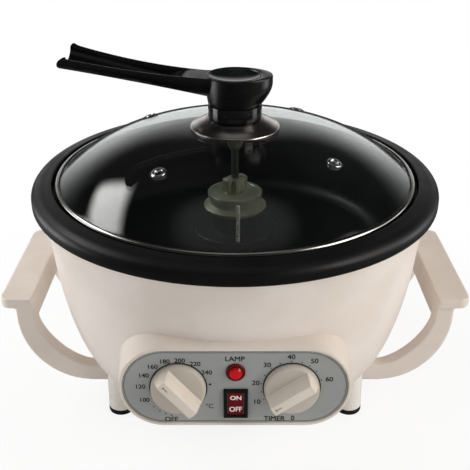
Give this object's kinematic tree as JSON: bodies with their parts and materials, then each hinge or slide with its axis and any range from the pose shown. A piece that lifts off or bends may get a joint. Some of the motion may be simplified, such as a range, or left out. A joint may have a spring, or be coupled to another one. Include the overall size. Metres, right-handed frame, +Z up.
{
  "type": "home coffee bean roaster",
  "caption": "Round electric pan roaster with a motor stirrer, a lift-off domed glass lid with a lever handle, side handles and a front control panel.",
  "frame": {"origin": "on the table surface, under the middle of the bounding box, 6.63 mm in front of the axis of the pan and stirrer", "axes": "+Z up, -Y towards the control panel, +X to the right seen from the front"},
  "size_m": [0.3688, 0.3316, 0.2738],
  "materials": {
    "cream": "satin cream",
    "pan_black": "matte black non-stick",
    "black_plastic": "matte black",
    "gloss_black": "glossy black",
    "glass": "clear",
    "steel": "bright",
    "chrome": "polished",
    "aluminium": "satin",
    "brass": "satin",
    "rubber": "matte",
    "fascia_grey": "satin grey",
    "red_plastic": "translucent red",
    "inner_plastic": "matte"
  },
  "bodies": {
    "base": {"body_shell": "cream", "roasting_pan": "pan_black", "handle_right": "cream", "handle_left": "cream", "handle_screw_1": "steel", "handle_screw_2": "steel", "handle_screw_3": "steel", "handle_screw_4": "steel", "foot_front_left": "cream", "foot_front_right": "cream", "foot_rear_left": "cream", "foot_rear_right": "cream", "foot_pad_front_left": "rubber", "foot_pad_front_right": "rubber", "foot_pad_rear_left": "rubber", "foot_pad_rear_right": "rubber", "base_plate": "steel", "base_screw_1": "steel", "base_screw_2": "steel", "base_screw_3": "steel", "cord_gland": "rubber", "panel_housing": "cream", "fascia_plate": "fascia_grey", "thermostat_body": "inner_plastic", "timer_body": "steel", "lamp_lens": "red_plastic", "switch_frame": "black_plastic", "shaft_seal": "rubber", "gear_case": "inner_plastic", "motor_bridge": "steel", "motor": "steel", "heating_element": "steel", "heat_shield": "aluminium", "thermal_cutout": "inner_plastic"},
    "lid": {"glass_lid": "glass", "lid_ring": "steel", "vent_eyelet_1": "chrome", "vent_eyelet_2": "chrome", "vent_eyelet_3": "chrome", "vent_eyelet_4": "chrome", "knob_skirt": "chrome", "knob_post": "gloss_black", "lid_lever": "black_plastic", "lever_cap": "gloss_black", "lever_screw_1": "chrome", "lever_screw_2": "chrome", "lid_bolt": "steel", "lid_washer": "rubber", "guide_bush": "brass"},
    "stirrer": {"drive_shaft": "steel", "stirrer_hub": "aluminium", "wing_nut": "steel", "stirrer_wire": "steel", "drive_gear": "inner_plastic"},
    "pinion": {"motor_pinion": "brass"},
    "temperature_dial": {"temperature_knob": "cream", "temperature_spindle": "steel"},
    "timer_dial": {"timer_knob": "cream", "timer_spindle": "steel"},
    "rocker": {"switch_rocker": "red_plastic"}
  },
  "joints": [
    {"name": "lid_lift", "type": "slide", "parent": "base", "child": "lid", "axis": [0, 0, 1], "range_m": [0, 0.12]},
    {"name": "stirrer_spin", "type": "hinge", "parent": "base", "child": "stirrer", "pos_m": [0, 0.00663, 0.1], "axis": [0, 0, 1], "continuous": true},
    {"name": "pinion_spin", "type": "hinge", "parent": "base", "child": "pinion", "pos_m": [0.02925, 0.00663, 0.08], "axis": [0, 0, 1], "continuous": true},
    {"name": "temperature_turn", "type": "hinge", "parent": "base", "child": "temperature_dial", "pos_m": [-0.038, -0.14999, 0.0853], "axis": [0, -0.9962, 0.0872], "range_deg": [-122, 126]},
    {"name": "timer_turn", "type": "hinge", "parent": "base", "child": "timer_dial", "pos_m": [0.038, -0.14999, 0.0853], "axis": [0, -0.9962, 0.0872], "range_deg": [-198, 60]},
    {"name": "rocker_press", "type": "hinge", "parent": "base", "child": "rocker", "pos_m": [0.0005, -0.15034, 0.07329], "axis": [1, 0, 0], "range_deg": [0, 14]}
  ],
  "couplings": [
    {"joint": "pinion_spin", "follows": "stirrer_spin", "ratio": -3.3333}
  ]
}
